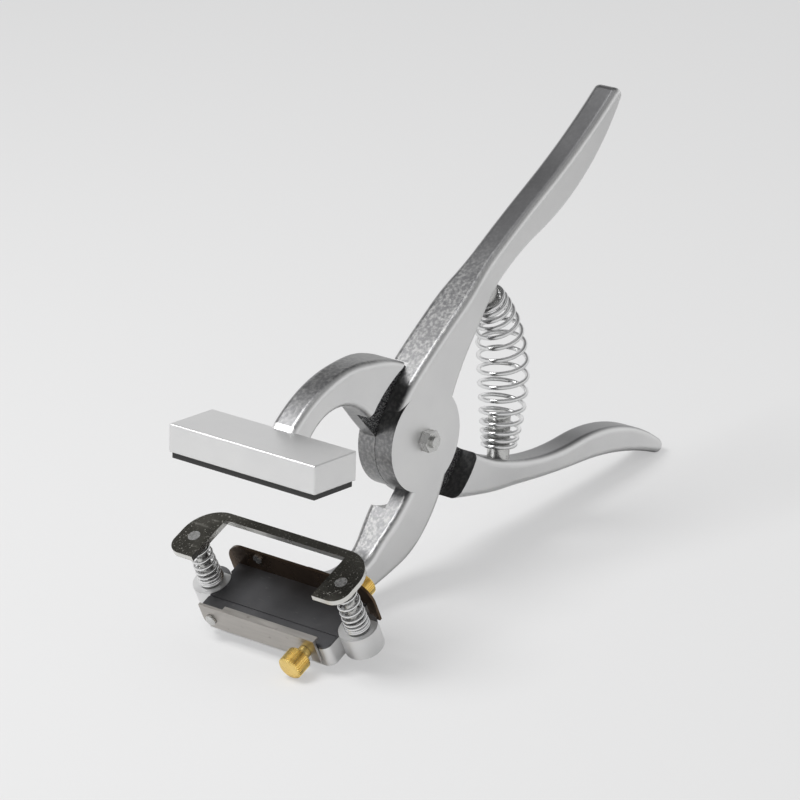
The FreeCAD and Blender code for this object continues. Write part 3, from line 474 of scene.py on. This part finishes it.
camera_data = bpy.data.cameras.new("camera")
camera_data.lens, camera_data.sensor_width = LENS, SENSOR
camera_data.clip_start, camera_data.clip_end = 0.05, 20.0
camera = bpy.data.objects.new("camera", camera_data)
bpy.context.scene.collection.objects.link(camera)
bpy.context.scene.camera = camera
backwards = Vector((math.sin(CAMERA_ROUND) * math.cos(CAMERA_RISE),
                    -math.cos(CAMERA_ROUND) * math.cos(CAMERA_RISE), math.sin(CAMERA_RISE)))
level = Vector((math.cos(CAMERA_ROUND), math.sin(CAMERA_ROUND), 0))
upright = backwards.cross(level)
rightwards = level * math.cos(CAMERA_ROLL) + upright * math.sin(CAMERA_ROLL)
upwards = upright * math.cos(CAMERA_ROLL) - level * math.sin(CAMERA_ROLL)
camera_turn = Matrix((rightwards, upwards, backwards)).transposed().to_4x4()
camera.matrix_world = (Matrix.Translation(upper_point(*CAMERA_PLACE))
                       @ upper_frame.to_3x3().to_4x4() @ camera_turn)

# ---- floor and light ----
# A plain pale table, a large soft lamp from the upper left, and a room that is darker overhead.
# Part of the table's paleness is its own, so that the tool's shadow on it stays faint.
TABLE_SIZE, TABLE_PALE, TABLE_OWN_LIGHT = 6.0, 0.775, 0.55
LAMP_SIZE, LAMP_POWER, LAMP_DISTANCE = 0.55, 9.0, 1.1
LAMP_WAY = (-0.55, 0.80, 0.45)

floor_mesh = bpy.data.meshes.new("floor")
table_top = bmesh.new()
bmesh.ops.create_grid(table_top, x_segments=1, y_segments=1, size=TABLE_SIZE)
table_top.to_mesh(floor_mesh)
table_top.free()
floor = bpy.data.objects.new("floor", floor_mesh)
bpy.context.scene.collection.objects.link(floor)

floor_material, shade = new_material("pale_table")
seen = shade.node("ShaderNodeLightPath")
matt = shade.node("ShaderNodeBsdfDiffuse", (), {"Color": (0.80, 0.80, 0.80, 1)})
even = shade.node("ShaderNodeEmission", (),
                  {"Color": (TABLE_PALE, TABLE_PALE, TABLE_PALE * 1.005, 1)})
both = shade.node("ShaderNodeMixShader", (), {0: seen * TABLE_OWN_LIGHT, 1: matt, 2: even})
shade.node("ShaderNodeOutputMaterial", (), {"Surface": both})
floor_mesh.materials.append(floor_material)

room = bpy.data.worlds.new("room")
bpy.context.scene.world = room
room.use_nodes = True
room.node_tree.nodes.clear()
shade = Shade(room.node_tree)
direction = shade.node("ShaderNodeTexCoord")
height = shade.node("ShaderNodeSeparateXYZ", (), {"Vector": direction}, out=2)
strength = 0.95 - 0.72 * height.step(0.34, 0.66) + 0.55 * height.step(0.88, 0.97)
light = shade.node("ShaderNodeBackground", (), {"Color": (1, 1, 1, 1), "Strength": strength})
shade.node("ShaderNodeOutputWorld", (), {"Surface": light})

lamp_data = bpy.data.lights.new("soft_lamp", "AREA")
lamp_data.shape, lamp_data.size, lamp_data.energy = "DISK", LAMP_SIZE, LAMP_POWER
lamp = bpy.data.objects.new("soft_lamp", lamp_data)
bpy.context.scene.collection.objects.link(lamp)
lamp_way = (camera.matrix_world.to_3x3() @ Vector(LAMP_WAY)).normalized()
lamp.location = pivot + lamp_way * LAMP_DISTANCE
lamp.rotation_euler = lamp_way.to_track_quat("Z", "Y").to_euler()

bpy.context.scene.view_settings.view_transform = "Standard"
